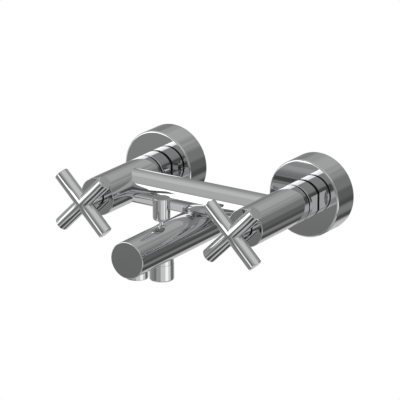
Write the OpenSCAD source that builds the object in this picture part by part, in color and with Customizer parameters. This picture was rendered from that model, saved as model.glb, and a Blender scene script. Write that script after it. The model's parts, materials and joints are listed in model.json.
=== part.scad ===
// Wall-mounted bath and shower mixer tap with two cross handles, a straight tubular spout,
// a pull-up diverter knob and a hose outlet.
// Frame: origin on the finished wall, midway between the two inlets. +X runs to the right along the
// wall, +Y runs into the wall and +Z is up, so the tap stands out towards -Y.
// Most pieces are turned about an axis that leaves the wall at a right angle. They are drawn in a
// local frame whose Z is the distance out from the wall, and from_wall() turns them into place.

/* [Connections] */
// Distance between the centres of the two wall inlets
inlet_centres = 150; // [130:1:180]
// Outside diameter of the half-inch pipe thread in the wall
wall_thread_d = 20.95; // [19:0.05:22]
// Length of thread that goes into the wall fitting
wall_thread_l = 14; // [8:1:20]
// Outside diameter of the three-quarter-inch thread under the union nut
union_thread_d = 26.4; // [25:0.1:27.5]
// Outside diameter of the half-inch thread that takes the shower hose
hose_thread_d = 20.95; // [20:0.05:22]
// How far the hose outlet hangs below the spout
hose_outlet_l = 15.4; // [12:0.2:20]

/* [Roses] */
// Diameter of each wall rose
rose_d = 69; // [62:1:80]
// Depth of each rose from the wall to its flat face
rose_depth = 26; // [25.8:0.1:34]
// Wall thickness of a rose
rose_wall = 1.5; // [1:0.1:1.8]
// Rounding of a rose's front edge
rose_edge_r = 1.5; // [1:0.1:3]
// Width of the rubber seal that shows between a rose and the shroud
rose_seal_w = 1.1; // [0.6:0.1:1.5]

/* [Valve bodies] */
// Outside diameter of the valve bodies and the shrouds behind them
barrel_d = 33.5; // [32:0.5:38]
// Distance from the wall to the flat front of a valve body
barrel_reach = 118.2; // [116:0.2:130]
// Distance from the wall to the back end of a valve body
barrel_back = 43.8; // [40:0.2:46]
// Chamfer on the edges of the valve bodies
barrel_chamfer = 0.5; // [0.2:0.1:1]
// Thickness of the black gasket between a shroud and a valve body
gasket_t = 1.5; // [1:0.1:2]
// Wall thickness of a shroud
shroud_wall = 1.6; // [1:0.1:2.5]
// Outside diameter of the inlet tail that joins a valve body to its union
tail_d = 19; // [18:0.2:19.6]

/* [Crossbar and spout] */
// Diameter of the crossbar between the valve bodies
crossbar_d = 29.8; // [26:0.2:31]
// Distance from the wall to the middle of the crossbar
crossbar_out = 73.8; // [72:0.2:76]
// Diameter of the spout
spout_d = 32; // [30:0.5:36]
// How far the spout's axis lies below the crossbar's
spout_drop = 24.1; // [20:0.1:27]
// Distance from the wall to the flat end of the spout
spout_reach = 182.6; // [178:0.2:220]
// Wall thickness of the crossbar and the spout
tube_wall = 2; // [1.5:0.1:2.5]
// Chamfer round the flat end of the spout
spout_chamfer = 0.6; // [0.2:0.1:1.2]
// Thickness of the discs that close the spout's two ends
plug_t = 3; // [2:0.5:4]

/* [Handles] */
// Diameter of the crossed rods and of the neck behind them
rod_d = 12.7; // [11:0.1:14]
// Overall length of each rod
rod_l = 65; // [56:1:72]
// Distance from the wall to the plane of the crossed rods
handle_out = 138.4; // [136:0.2:150]
// Chamfer on the rod ends
rod_chamfer = 0.7; // [0.3:0.1:1.2]
// Ring gap between a handle's neck and the valve body's front
neck_gap = 0.8; // [0.4:0.1:1.5]

/* [Diverter and aerator] */
// Distance from the spout's flat end back to the diverter knob and the hose outlet
diverter_setback = 51.6; // [48:0.2:54]
// Diameter of the diverter knob
knob_d = 14.8; // [12:0.2:18]
// Height of the diverter knob
knob_h = 19.6; // [14:0.2:26]
// Gap between the knob, when it is down, and the top of the spout
knob_gap = 5.1; // [3:0.1:8]
// Diameter of the diverter stem
stem_d = 4.3; // [4:0.1:5]
// How far the diverter lifts
diverter_lift = 6; // [4:0.5:7]
// Distance from the spout's flat end back to the middle of the aerator
aerator_setback = 14.6; // [14:0.2:18]
// Diameter of the collar round the aerator
aerator_d = 19.2; // [18:0.2:20]
// How far the aerator collar hangs below the spout
aerator_l = 3; // [2:0.2:6]

/* [Hidden] */
$fn = 96;
eps = 0.01;
// Gap of a soldered joint between two tubes
braze = 0.05;
// Radial clearance of a turning or sliding fit, and of a piece that is screwed or pushed home
run_fit = 0.05;
seat_fit = 0.05;
HOT = -1;
COLD = 1;

barrel_r = barrel_d / 2;
crossbar_r = crossbar_d / 2;
crossbar_bore_r = crossbar_r - tube_wall;
spout_r = spout_d / 2;
spout_bore_r = spout_r - tube_wall;
rod_r = rod_d / 2;
rose_r = rose_d / 2;
shroud_bore_r = barrel_r - shroud_wall;
stem_r = stem_d / 2;
tail_r = tail_d / 2;

// The union, counted out from the wall
union_collar_t = 4;
union_collar_r = union_thread_d / 2 + 1.6;
union_nose = 15;
union_bore_r = 7;
washer_t = 2;
washer_back = union_nose;
tail_back = washer_back + washer_t;
tail_flange_t = 3;
nut_back = union_collar_t + 1;
nut_lip_t = 3.4;
nut_front = tail_back + tail_flange_t + nut_lip_t;
nut_flats = union_thread_d + 3.6;
shroud_back = nut_front + 0.3;
shroud_front = barrel_back - gasket_t;
shroud_web_t = 4;

// The valve body and its ceramic cartridge, counted out from the wall
tail_screwed_l = 12.6;
tail_front = barrel_back + tail_screwed_l;
tail_bore_r = 6.2;
check_valve_r = 7.4;
check_valve_l = 11;
tail_key_l = 12;
cage_wall = 1.1;
cage_seat_w = 2.6;
cage_seat_t = 1.5;
cage_hub_l = 3.4;
poppet_stem_r = 1.1;
poppet_lift = 2.5;
seat_out = crossbar_out - 7.8;
seat_bore_r = 7.6;
port_r = 6.5;
chamber_r = 12.2;
chamber_l = 21;
cavity_r = barrel_r - 2.2;
cap_t = 3;
cap_skirt_l = 3.2;
neck_back = barrel_reach - cap_t - 1;
// The bonnet's thread, hexagon and nose share the length between the chamber and the handle's neck
bonnet_clearance = 6.2;
bonnet_front = neck_back - bonnet_clearance;
thread_back = seat_out + chamber_l;
bonnet_l = bonnet_front - thread_back;
cartridge_thread_r = 10.48;
thread_front = thread_back + bonnet_l * 10 / 21;
hex_flats = 22;
hex_t = bonnet_l * 4 / 21;
bonnet_r = 7.4;
cap_hole_r = rod_r + neck_gap;

disc_r = 8.5;
disc_t = 3;
seal_h = 4;
disc_back = seat_out + seal_h;
mover_back = disc_back + disc_t;
driver_back = mover_back + disc_t;
driver_t = 3;
lug_t = 3;
cage_r = 9.5;
cage_bore_r = disc_r + run_fit;
cage_back = seat_out + 2.4;
cage_floor = driver_back + driver_t + lug_t + 0.5;
lug_r = 7.4;
lug_angle = 60;
turn_angle = 90;
turn_slack = 2;
window_in = 2.4;
window_out = 6.6;
window_angle = 80;
tongue_w = 3;
tongue_t = 1.4;

journal_r = 4.6;
o_ring_out = thread_back + bonnet_l * 4 / 15;
spline_r = 4;
spline_teeth = 20;
circlip_t = 1;
spline_front = neck_back + 12.5;
grub_out = neck_back + 8.5;
grub_r = 2;

// The diverter, in heights from the crossbar's axis
diverter_out = spout_reach - diverter_setback;
spout_z = -spout_drop;
spout_top = spout_z + spout_r;
spout_bottom = spout_z - spout_r;
spout_back = crossbar_out - crossbar_r;
spigot_r = 8.4;
spigot_top = spout_z - spout_bore_r + 3.6;
hose_bore_r = 5.6;
hose_pocket_r = 7.5;
hose_end = spout_bottom - hose_outlet_l;
hose_pocket_top = hose_end + check_valve_l + 1;
hose_neck_r = hose_thread_d / 2 - 0.25;
valve_r = 6.8;
valve_t = 1.2;
valve_washer_t = 1.4;
valve_gap = 0.05;
valve_bottom = spigot_top + valve_gap;
valve_top = valve_bottom + valve_t + 2 * valve_washer_t;
web_bottom = valve_top + diverter_lift + valve_gap;
web_t = 2.4;
divider_l = 24;
divider_r = spout_bore_r - seat_fit;
upper_chamber_r = 5.4;
upper_chamber_top = web_bottom + web_t + 4.6;
knob_bottom = spout_top + knob_gap;
knob_top = knob_bottom + knob_h;
stem_top = knob_bottom + 0.6 * knob_h;
gland_r = 4;
gland_top = spout_top + 0.5;
gland_ring_r = 0.8;

aerator_out = spout_reach - aerator_setback;
aerator_r = aerator_d / 2;
aerator_end = spout_bottom - aerator_l;
aerator_spigot_r = aerator_r - 0.7;
aerator_thread_r = aerator_r - 1.5;
aerator_top = spout_z - spout_bore_r + 3;
aerator_washer_t = 1.4;
aerator_hole_r = 0.55;
aerator_pitch = 1.9;
aerator_rows = 3;

// Points of an arc in a profile, counted from the +r direction towards +z
function arc(centre, radius, from, to, steps = 5) =
    [for (i = [0:steps]) let (a = from + (to - from) * i / steps)
        [centre[0] + radius * cos(a), centre[1] + radius * sin(a)]];

// Turns a local frame, whose Z points out from the wall, into the tap's frame
module from_wall() {
    rotate([90, 0, 0]) children();
}

// Places a piece of the hot or the cold side on its inlet axis
module on_side(side) {
    translate([side * inlet_centres / 2, 0, 0]) from_wall() children();
}

// Places a piece that stands or hangs on an upright axis through the spout
module on_spout(out) {
    translate([0, -out, 0]) children();
}

// A turned piece from its half section, as points of radius and height
module turned(section) {
    rotate_extrude() polygon(section);
}

// A plain ring or bush between two heights
module ring(outer, inner, from, to) {
    translate([0, 0, from]) difference() {
        cylinder(r = outer, h = to - from);
        translate([0, 0, -1]) cylinder(r = inner, h = to - from + 2);
    }
}

// A drilled hole between two heights
module bore(radius, from, to) {
    translate([0, 0, from]) cylinder(r = radius, h = to - from);
}

// A hexagonal bar or socket between two heights, by its width across flats
module hexagon(flats, from, to) {
    translate([0, 0, from]) cylinder(r = flats / sqrt(3), h = to - from, $fn = 6);
}

// A pie slice that is big enough to cut a sector out of a disc, under 180 degrees wide
module slice(from, to, low, high, reach = 20) {
    middle = (from + to) / 2;
    translate([0, 0, low]) linear_extrude(high - low)
        polygon([[0, 0],
            [reach * cos(from), reach * sin(from)],
            [1.5 * reach * cos(middle), 1.5 * reach * sin(middle)],
            [reach * cos(to), reach * sin(to)]]);
}

// A curved block between two radii, two angles and two heights
module sector(inner, outer, from, to, low, high) {
    intersection() {
        ring(outer, inner, low, high);
        slice(from, to, low - 1, high + 1);
    }
}

// The crossbar's outer surface, grown by a gap
module crossbar_skin(gap) {
    translate([0, -crossbar_out, 0]) rotate([0, 90, 0])
        cylinder(r = crossbar_r + gap, h = inlet_centres, center = true);
}

// The spout's outer surface, grown by a gap
module spout_skin(gap) {
    translate([0, 0, spout_z]) from_wall() bore(spout_r + gap, spout_back, spout_reach);
}

// Wall rose: a drawn cup with a flat face and a rounded edge
module rose(side) {
    hole = barrel_r + rose_seal_w;
    inner = rose_r - rose_wall;
    plate_back = rose_depth - rose_wall;
    inner_edge_r = max(0.3, rose_edge_r - rose_wall);
    color("silver") on_side(side) turned(concat(
        [[inner, 0], [rose_r, 0]],
        arc([rose_r - rose_edge_r, rose_depth - rose_edge_r], rose_edge_r, 0, 90),
        [[hole, rose_depth], [hole, plate_back]],
        arc([inner - inner_edge_r, plate_back - inner_edge_r], inner_edge_r, 90, 0)));
}

// Rubber seal in the hole of the rose, with a flange behind the plate that keeps it in place and
// a lip that stands a little proud of the rose's face
module rose_seal(side) {
    plate_back = rose_depth - rose_wall;
    hole = barrel_r + rose_seal_w;
    lip = rose_depth + 0.3;
    color("black") on_side(side) turned([
        [barrel_r + run_fit / 2, plate_back - 0.6], [hole + 1.6, plate_back - 0.6],
        [hole + 1.6, plate_back], [hole, plate_back], [hole, rose_depth],
        [hole - 0.3, lip], [barrel_r + run_fit / 2, lip]]);
}

// Wall union: thread into the wall, a collar with two spanner flats, and the nose for the union nut
module wall_union(side) {
    thread_r = wall_thread_d / 2;
    nose_r = union_thread_d / 2;
    chamfer = 1;
    flats = union_collar_r * 1.8;
    color("goldenrod") on_side(side) difference() {
        intersection() {
            turned([
                [0, -wall_thread_l], [thread_r - chamfer, -wall_thread_l],
                [thread_r, -wall_thread_l + chamfer], [thread_r, 0],
                [union_collar_r, 0], [union_collar_r, union_collar_t],
                [nose_r, union_collar_t], [nose_r, union_nose - chamfer],
                [nose_r - chamfer, union_nose], [0, union_nose]]);
            translate([-flats / 2, -union_collar_r - 1, -wall_thread_l - 1])
                cube([flats, 2 * union_collar_r + 2, wall_thread_l + union_nose + 2]);
        }
        bore(union_bore_r, -wall_thread_l - 1, union_nose + 1);
        bore(union_bore_r + 1, union_nose - 1.2, union_nose + 1);
    }
}

// Dirt strainer: a thimble with a rim, which drops into the nose of the wall union
module inlet_strainer(side) {
    cup_r = union_bore_r - 0.4;
    cup_back = union_nose - 8;
    color("lightgray") on_side(side) difference() {
        turned([
            [0, cup_back], [cup_r, cup_back], [cup_r, union_nose - 1.2],
            [union_bore_r + 0.8, union_nose - 1.2], [union_bore_r + 0.8, union_nose - 0.6],
            [cup_r - 0.6, union_nose - 0.6], [cup_r - 0.6, cup_back + 0.6], [0, cup_back + 0.6]]);
        for (ring_r = [0, 2, 4], i = [0:max(0, ring_r * 3 - 1)])
            rotate([0, 0, i * 360 / max(1, ring_r * 3)]) translate([ring_r, 0, 0])
                bore(0.55, cup_back - 1, cup_back + 1.6);
    }
}

// Fibre washer that seals the union
module union_washer(side) {
    color("saddlebrown") on_side(side)
        ring(union_thread_d / 2 - 1.4, union_bore_r + 0.6, washer_back, tail_back);
}

// Hexagonal union nut: screwed over the nose, with a lip that draws in the tail's flange
module union_nut(side) {
    corner_r = nut_flats / sqrt(3);
    flat_r = nut_flats / 2;
    bevel = 1.2;
    color("goldenrod") on_side(side) difference() {
        intersection() {
            hexagon(nut_flats, nut_back, nut_front);
            turned([
                [0, nut_back], [flat_r + 0.4, nut_back], [corner_r + 0.1, nut_back + bevel],
                [corner_r + 0.1, nut_front - bevel], [flat_r + 0.4, nut_front], [0, nut_front]]);
        }
        bore(union_thread_d / 2 + seat_fit, nut_back - 1, nut_front - nut_lip_t);
        bore(tail_r + 0.3, nut_front - nut_lip_t - 1, nut_front + 1);
    }
}

// Inlet tail: a flange for the nut, a hexagon for an Allen key, and a pocket for the check valve
module inlet_tail(side) {
    pocket_back = tail_front - check_valve_l - 1.4;
    key_flats = 12;
    color("goldenrod") on_side(side) difference() {
        turned([
            [0, tail_back], [union_thread_d / 2 - 1.2, tail_back],
            [union_thread_d / 2 - 1.2, tail_back + tail_flange_t], [tail_r, tail_back + tail_flange_t],
            [tail_r, tail_front - 1], [tail_r - 1, tail_front], [0, tail_front]]);
        hexagon(key_flats, tail_back - 1, tail_back + tail_key_l);
        bore(key_flats / 2, tail_back + tail_key_l - 1, tail_front + 1);
        bore(check_valve_r + seat_fit, pocket_back, tail_front + 1);
    }
}

// Cage of a check valve: a tube with a seat at its inflow end and a spider that guides the poppet
module check_valve_cage(radius, from, to) {
    spokes = 3;
    hub_r = poppet_stem_r + 1.1;
    turned([
        [radius - cage_seat_w, from], [radius, from], [radius, to],
        [radius - cage_wall, to], [radius - cage_wall, from + cage_seat_t],
        [radius - cage_seat_w, from + cage_seat_t]]);
    ring(hub_r, poppet_stem_r + run_fit, to - cage_hub_l, to);
    for (i = [0:spokes - 1]) rotate([0, 0, 90 + i * 360 / spokes])
        translate([hub_r - 0.3, -0.6, to - 1.8])
            cube([radius - cage_wall + 0.6 - hub_r, 1.2, 1.5]);
}

// Poppet of a check valve: a disc on the cage's seat, with a rounded nose and a stem in its hub
module check_valve_poppet(radius, from, to) {
    seat = from + cage_seat_t;
    disc = radius - cage_wall - 0.6;
    nose = radius - cage_seat_w - 0.4;
    turned([
        [0, from - 0.4], [nose - 2, from], [nose, seat], [disc, seat], [disc, seat + 1],
        [poppet_stem_r + 0.5, seat + 1.4], [poppet_stem_r, seat + 1.9],
        [poppet_stem_r, to - poppet_lift], [0, to - poppet_lift]]);
}

// Check valve in the inlet tail, which keeps hot and cold water apart
module inlet_check_cage(side) {
    color("deepskyblue") on_side(side)
        check_valve_cage(check_valve_r, tail_front - check_valve_l - 1, tail_front - 1);
}

module inlet_check_poppet(side) {
    color("aliceblue") on_side(side)
        check_valve_poppet(check_valve_r, tail_front - check_valve_l - 1, tail_front - 1);
}

// Shroud: a tube that covers the tail between the rose and the valve body, with an inner web
module shroud(side) {
    chamfer = barrel_chamfer;
    color("silver") on_side(side) turned([
        [shroud_bore_r, shroud_back], [barrel_r - chamfer / 2, shroud_back],
        [barrel_r, shroud_back + chamfer / 2], [barrel_r, shroud_front - chamfer],
        [barrel_r - chamfer, shroud_front], [tail_r + seat_fit, shroud_front],
        [tail_r + seat_fit, shroud_front - shroud_web_t],
        [shroud_bore_r, shroud_front - shroud_web_t]]);
}

// Black gasket between the shroud and the valve body, bevelled down to the shroud
module body_gasket(side) {
    color("black") on_side(side) turned([
        [tail_r + seat_fit, shroud_front], [barrel_r - 1.4, shroud_front],
        [barrel_r - 0.05, barrel_back], [tail_r + seat_fit, barrel_back]]);
}

// Valve body: a bored barrel with a side port to the crossbar
module valve_body(side) {
    chamfer = barrel_chamfer;
    rear_chamfer = 0.1;
    color("silver") on_side(side) difference() {
        turned([
            [0, barrel_back], [barrel_r - rear_chamfer, barrel_back],
            [barrel_r, barrel_back + rear_chamfer],
            [barrel_r, barrel_reach - chamfer], [barrel_r - chamfer, barrel_reach],
            [0, barrel_reach]]);
        bore(tail_r + seat_fit, barrel_back - 1, tail_front + 1);
        bore(seat_bore_r, tail_front, seat_out + 1);
        bore(chamber_r, seat_out, thread_back);
        bore(cartridge_thread_r + seat_fit, thread_back - 1, thread_front + 1);
        bore(cavity_r + seat_fit, thread_front, barrel_reach + 1);
        translate([0, 0, crossbar_out]) rotate([0, -side * 90, 0]) bore(port_r, 0, barrel_r + 1);
    }
}

// Cartridge bonnet: a hexagon, a thread, and a cage round the discs with windows and a turn stop
module cartridge_bonnet(side) {
    stop_back = driver_back + driver_t + 0.3;
    play = lug_angle / 2 + turn_slack;
    color("gold") on_side(side) difference() {
        union() {
            turned([
                [cage_bore_r, cage_back], [cage_r, cage_back], [cage_r, thread_back],
                [cartridge_thread_r, thread_back], [cartridge_thread_r, thread_front],
                [bonnet_r, thread_front], [bonnet_r, bonnet_front],
                [journal_r + run_fit, bonnet_front], [journal_r + run_fit, cage_floor],
                [cage_bore_r, cage_floor]]);
            difference() {
                hexagon(hex_flats, thread_front, thread_front + hex_t);
                bore(bonnet_r - 0.4, thread_front - 1, thread_front + hex_t + 1);
            }
            mirror([side == HOT ? 0 : 1, 0, 0]) difference() {
                ring(cage_bore_r + 0.4, journal_r + run_fit, stop_back, cage_floor + 0.3);
                slice(-play, turn_angle + play, stop_back - 1, cage_floor + 0.1);
            }
        }
        for (a = [0, 180]) rotate([0, 0, a]) translate([0, -3, driver_back + 0.4])
            cube([cage_r + 1, 6, driver_t - 0.8]);
    }
}

// Rubber seal that presses the discs together and seals the cartridge on its seat
module seat_seal(side) {
    color("black") on_side(side) turned([
        [window_out - 0.4, disc_back], [window_out - 0.4, seat_out + 1],
        [seat_bore_r + 0.2, seat_out], [seat_bore_r + 1.1, seat_out],
        [disc_r - 0.1, seat_out + 1.2], [disc_r - 0.1, disc_back]]);
}

// A ceramic disc with two opposite windows
module ceramic_disc(from, to, turn) {
    difference() {
        bore(disc_r - 0.1, from, to);
        for (a = [turn, turn + 180])
            sector(window_in, window_out, a - window_angle / 2, a + window_angle / 2, from - 1, to + 1);
    }
}

// Fixed ceramic disc, with its windows left and right
module fixed_disc(side) {
    color("ivory") on_side(side) ceramic_disc(disc_back, mover_back, 0);
}

// Moving ceramic disc, with its windows closed by the fixed disc at rest and a slot for the spindle
module moving_disc(side) {
    color("white") on_side(side) difference() {
        ceramic_disc(mover_back, driver_back, 90);
        translate([-disc_r, -tongue_w / 2 - seat_fit, driver_back - tongue_t - seat_fit])
            cube([2 * disc_r, tongue_w + 2 * seat_fit, tongue_t + 1]);
    }
}

// Spindle: a tongue and driver on the moving disc, a stop lug, a journal and a splined end
module spindle(side) {
    groove = bonnet_front + 0.1;
    ring_groove = o_ring_out - 0.6;
    root_r = spline_r - 0.4;
    color("khaki") on_side(side) {
        difference() {
            union() {
                intersection() {
                    bore(disc_r - 0.3, driver_back - tongue_t, driver_back + 1);
                    translate([-disc_r, -tongue_w / 2, driver_back - tongue_t])
                        cube([2 * disc_r, tongue_w, tongue_t + 1]);
                }
                difference() {
                    bore(disc_r - 0.2, driver_back, driver_back + driver_t);
                    for (a = [0, 180]) rotate([0, 0, a])
                        sector(window_in + 2.4, disc_r + 1, 90 - window_angle / 2, 90 + window_angle / 2,
                            driver_back - 1, driver_back + driver_t + 1);
                }
                bore(journal_r, driver_back + driver_t - 1, bonnet_front + circlip_t + 0.8);
                mirror([side == HOT ? 0 : 1, 0, 0])
                    sector(journal_r - 0.5, lug_r, -lug_angle / 2, lug_angle / 2,
                        driver_back + driver_t - 0.2, driver_back + driver_t + lug_t);
            }
            ring(journal_r + 1, journal_r - 0.6, groove, groove + circlip_t + 0.1);
            ring(journal_r + 1, journal_r - 1, ring_groove, ring_groove + 1.2);
        }
        translate([0, 0, bonnet_front + circlip_t + 0.7]) linear_extrude(spline_front - 1 - bonnet_front - circlip_t)
            polygon([for (i = [0:2 * spline_teeth - 1])
                let (a = i * 180 / spline_teeth, r = i % 2 == 0 ? spline_r : root_r)
                    [r * cos(a), r * sin(a)]]);
    }
}

// O-ring in the spindle's groove
module spindle_o_ring(side) {
    section_r = 0.5;
    color("black") on_side(side) translate([0, 0, o_ring_out]) rotate_extrude()
        translate([journal_r - 1 + section_r + 0.01, 0]) circle(r = section_r, $fn = 24);
}

// Circlip that keeps the spindle in the bonnet
module spindle_circlip(side) {
    color("dimgray") on_side(side) difference() {
        ring(journal_r + 1.4, journal_r - 0.58, bonnet_front + 0.12, bonnet_front + 0.12 + circlip_t - 0.05);
        translate([-1.2, 0, bonnet_front - 1]) cube([2.4, journal_r + 3, circlip_t + 3]);
    }
}

// Front cap: a flat disc with a skirt, which closes the valve body round the handle's neck
module front_cap(side) {
    color("silver") on_side(side) turned([
        [cap_hole_r, barrel_reach - cap_t], [cap_hole_r, barrel_reach],
        [cavity_r, barrel_reach], [cavity_r, barrel_reach - cap_t - cap_skirt_l],
        [cavity_r - 1.8, barrel_reach - cap_t - cap_skirt_l], [cavity_r - 1.8, barrel_reach - cap_t]]);
}

// One of the crossed rods, with chamfered ends
module handle_rod(angle) {
    half = rod_l / 2;
    translate([0, 0, handle_out]) rotate([0, 0, angle]) rotate([90, 0, 0])
        turned([[0, -half], [rod_r - rod_chamfer, -half], [rod_r, -half + rod_chamfer],
            [rod_r, half - rod_chamfer], [rod_r - rod_chamfer, half], [0, half]]);
}

// Cross handle: two rods that cross in one plane on a round neck, with a socket for the spline
module handle(side) {
    color("silver") on_side(side) difference() {
        union() {
            handle_rod(45);
            handle_rod(-45);
            bore(rod_r - 0.02, neck_back, handle_out);
        }
        bore(spline_r + seat_fit, neck_back - 1, spline_front + 0.5);
        translate([0, 0, grub_out]) rotate([90, 0, 0]) bore(grub_r, 0, rod_r + 1);
    }
}

// Grub screw under the neck, with a hexagonal socket, which clamps the handle on the spindle
module grub_screw(side) {
    color("dimgray") on_side(side) translate([0, 0, grub_out]) rotate([90, 0, 0]) difference() {
        bore(grub_r - seat_fit, spline_r + seat_fit, rod_r - 0.25);
        hexagon(2, rod_r - 1.5, rod_r + 1);
    }
}

// Crossbar: a tube whose ends are cut to the valve bodies, with a port down into the spout
module crossbar() {
    color("silver") difference() {
        translate([0, -crossbar_out, 0]) rotate([0, 90, 0]) difference() {
            cylinder(r = crossbar_r, h = inlet_centres, center = true);
            cylinder(r = crossbar_bore_r, h = inlet_centres + 2, center = true);
        }
        for (side = [HOT, COLD]) on_side(side)
            bore(barrel_r + braze, barrel_back - 5, barrel_reach);
        translate([0, -crossbar_out, -crossbar_r - 1]) cylinder(r = port_r, h = crossbar_r + 1);
    }
}

// Spout tube: cut to the crossbar above its back end, and drilled for the diverter and aerator
module spout_tube() {
    color("silver") difference() {
        translate([0, 0, spout_z]) from_wall() turned([
            [spout_bore_r, spout_back], [spout_r - spout_chamfer, spout_back],
            [spout_r, spout_back + spout_chamfer], [spout_r, spout_reach - spout_chamfer],
            [spout_r - spout_chamfer, spout_reach], [spout_bore_r, spout_reach]]);
        crossbar_skin(braze);
        on_spout(diverter_out) {
            bore(gland_r + seat_fit, spout_z, spout_top + 2);
            bore(spigot_r + seat_fit, spout_bottom - 2, spout_z);
        }
        on_spout(aerator_out) bore(aerator_spigot_r + seat_fit, spout_bottom - 2, spout_z);
    }
}

// Disc that closes the spout's visible end, flush with the tube
module spout_end_plug() {
    color("silver") translate([0, 0, spout_z]) from_wall()
        bore(spout_bore_r - braze, spout_reach - plug_t, spout_reach);
}

// Disc that closes the spout under the back of the crossbar
module spout_back_plug() {
    color("silver") translate([0, 0, spout_z]) from_wall()
        bore(spout_bore_r - braze, spout_back, spout_back + plug_t);
}

// Divider in the spout: water comes in low at the back and leaves high at the front,
// through a web that the lifted diverter valve closes
module diverter_divider() {
    low_way_z = (spigot_top + web_bottom) / 2;
    high_way_z = (web_bottom + web_t + upper_chamber_top) / 2;
    color("goldenrod") difference() {
        translate([0, 0, spout_z]) from_wall()
            bore(divider_r, diverter_out - divider_l / 2, diverter_out + divider_l / 2);
        on_spout(diverter_out) {
            bore(spigot_r + seat_fit, spout_bottom, web_bottom);
            bore(upper_chamber_r, web_bottom - 1, web_bottom + web_t + eps);
            bore(upper_chamber_r, web_bottom + web_t, upper_chamber_top);
            bore(gland_r + seat_fit, upper_chamber_top - 1, spout_top);
        }
        translate([0, 0, low_way_z]) from_wall() bore(3.6, diverter_out - divider_l, diverter_out);
        translate([0, 0, high_way_z]) from_wall() bore(2.2, diverter_out, diverter_out + divider_l);
    }
}

// Gland: the bush in the top of the spout that guides the stem
module diverter_gland() {
    gland_bottom = upper_chamber_top + 0.4;
    ring_z = (gland_bottom + gland_top) / 2;
    color("silver") on_spout(diverter_out) difference() {
        turned([
            [stem_r + run_fit, gland_bottom], [gland_r, gland_bottom],
            [gland_r, gland_top - 0.3], [gland_r - 0.3, gland_top], [stem_r + run_fit, gland_top]]);
        ring(stem_r + 2 * gland_ring_r - 0.1, 0.5, ring_z - gland_ring_r, ring_z + gland_ring_r);
    }
}

// O-ring in the gland, round the stem
module diverter_gland_o_ring() {
    ring_z = (upper_chamber_top + 0.4 + gland_top) / 2;
    section_r = gland_ring_r - 0.1;
    color("black") on_spout(diverter_out) translate([0, 0, ring_z]) rotate_extrude()
        translate([stem_r + run_fit + section_r, 0]) circle(r = section_r, $fn = 24);
}

// Pull knob: a plain cylinder with a rounded lower edge
module diverter_knob() {
    knob_r = knob_d / 2;
    low_edge_r = 1.4;
    top_chamfer = 0.4;
    color("silver") on_spout(diverter_out) difference() {
        turned(concat(
            [[0, knob_bottom]],
            arc([knob_r - low_edge_r, knob_bottom + low_edge_r], low_edge_r, -90, 0),
            [[knob_r, knob_top - top_chamfer], [knob_r - top_chamfer, knob_top], [0, knob_top]]));
        bore(stem_r + seat_fit, knob_bottom - 1, stem_top + seat_fit);
    }
}

// Stem, turned in one piece with the valve plate at its foot and a hub on each side for a washer
module diverter_stem() {
    low = valve_bottom + valve_washer_t;
    hub_r = stem_r + 1;
    hub_t = valve_washer_t - 0.1;
    color("gainsboro") on_spout(diverter_out) turned([
        [0, low - hub_t], [hub_r, low - hub_t], [hub_r, low], [valve_r, low],
        [valve_r, low + valve_t], [hub_r, low + valve_t], [hub_r, low + valve_t + hub_t],
        [stem_r, low + valve_t + hub_t], [stem_r, stem_top], [0, stem_top]]);
}

// The two rubber washers of the valve plate: one closes the hose outlet, one the way to the spout
module diverter_washers() {
    color("black") on_spout(diverter_out) {
        ring(valve_r, stem_r + 1 + seat_fit, valve_bottom, valve_bottom + valve_washer_t);
        ring(valve_r, stem_r + 1 + seat_fit, valve_top - valve_washer_t, valve_top);
    }
}

// Hose outlet: a nipple fitted to the underside of the spout, with a spigot that is the valve's seat
module hose_outlet() {
    thread_r = hose_thread_d / 2;
    thread_top = spout_bottom - 1;
    chamfer = 1.1;
    color("silver") on_spout(diverter_out) difference() {
        union() {
            difference() {
                turned([[0, hose_end], [thread_r - chamfer, hose_end], [thread_r, hose_end + chamfer],
                    [thread_r, thread_top], [hose_neck_r, thread_top],
                    [hose_neck_r, spout_z], [0, spout_z]]);
                translate([0, diverter_out, 0]) spout_skin(braze);
            }
            bore(spigot_r, spout_bottom - 1, spigot_top);
        }
        bore(hose_bore_r, hose_end - 1, spigot_top + 1);
        bore(hose_pocket_r + seat_fit, hose_end - 1, hose_pocket_top);
    }
}

// Check valve in the hose outlet, with its outflow end down
module hose_check_cage() {
    color("deepskyblue") on_spout(diverter_out) translate([0, 0, hose_pocket_top]) rotate([180, 0, 0])
        check_valve_cage(hose_pocket_r, 0.2, check_valve_l - 0.4);
}

module hose_check_poppet() {
    color("aliceblue") on_spout(diverter_out) translate([0, 0, hose_pocket_top]) rotate([180, 0, 0])
        check_valve_poppet(hose_pocket_r, 0.2, check_valve_l - 0.4);
}

// Collar for the aerator, soldered into the underside of the spout
module aerator_collar() {
    chamfer = 0.5;
    color("silver") on_spout(aerator_out) difference() {
        union() {
            difference() {
                turned([[0, aerator_end], [aerator_r - chamfer, aerator_end],
                    [aerator_r, aerator_end + chamfer], [aerator_r, spout_z], [0, spout_z]]);
                translate([0, aerator_out, 0]) spout_skin(braze);
            }
            bore(aerator_spigot_r, spout_bottom - 1, aerator_top);
        }
        bore(aerator_thread_r, aerator_end - 1, aerator_top - 1.2);
        bore(aerator_thread_r - 1.4, aerator_end, aerator_top + 1);
    }
}

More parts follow.
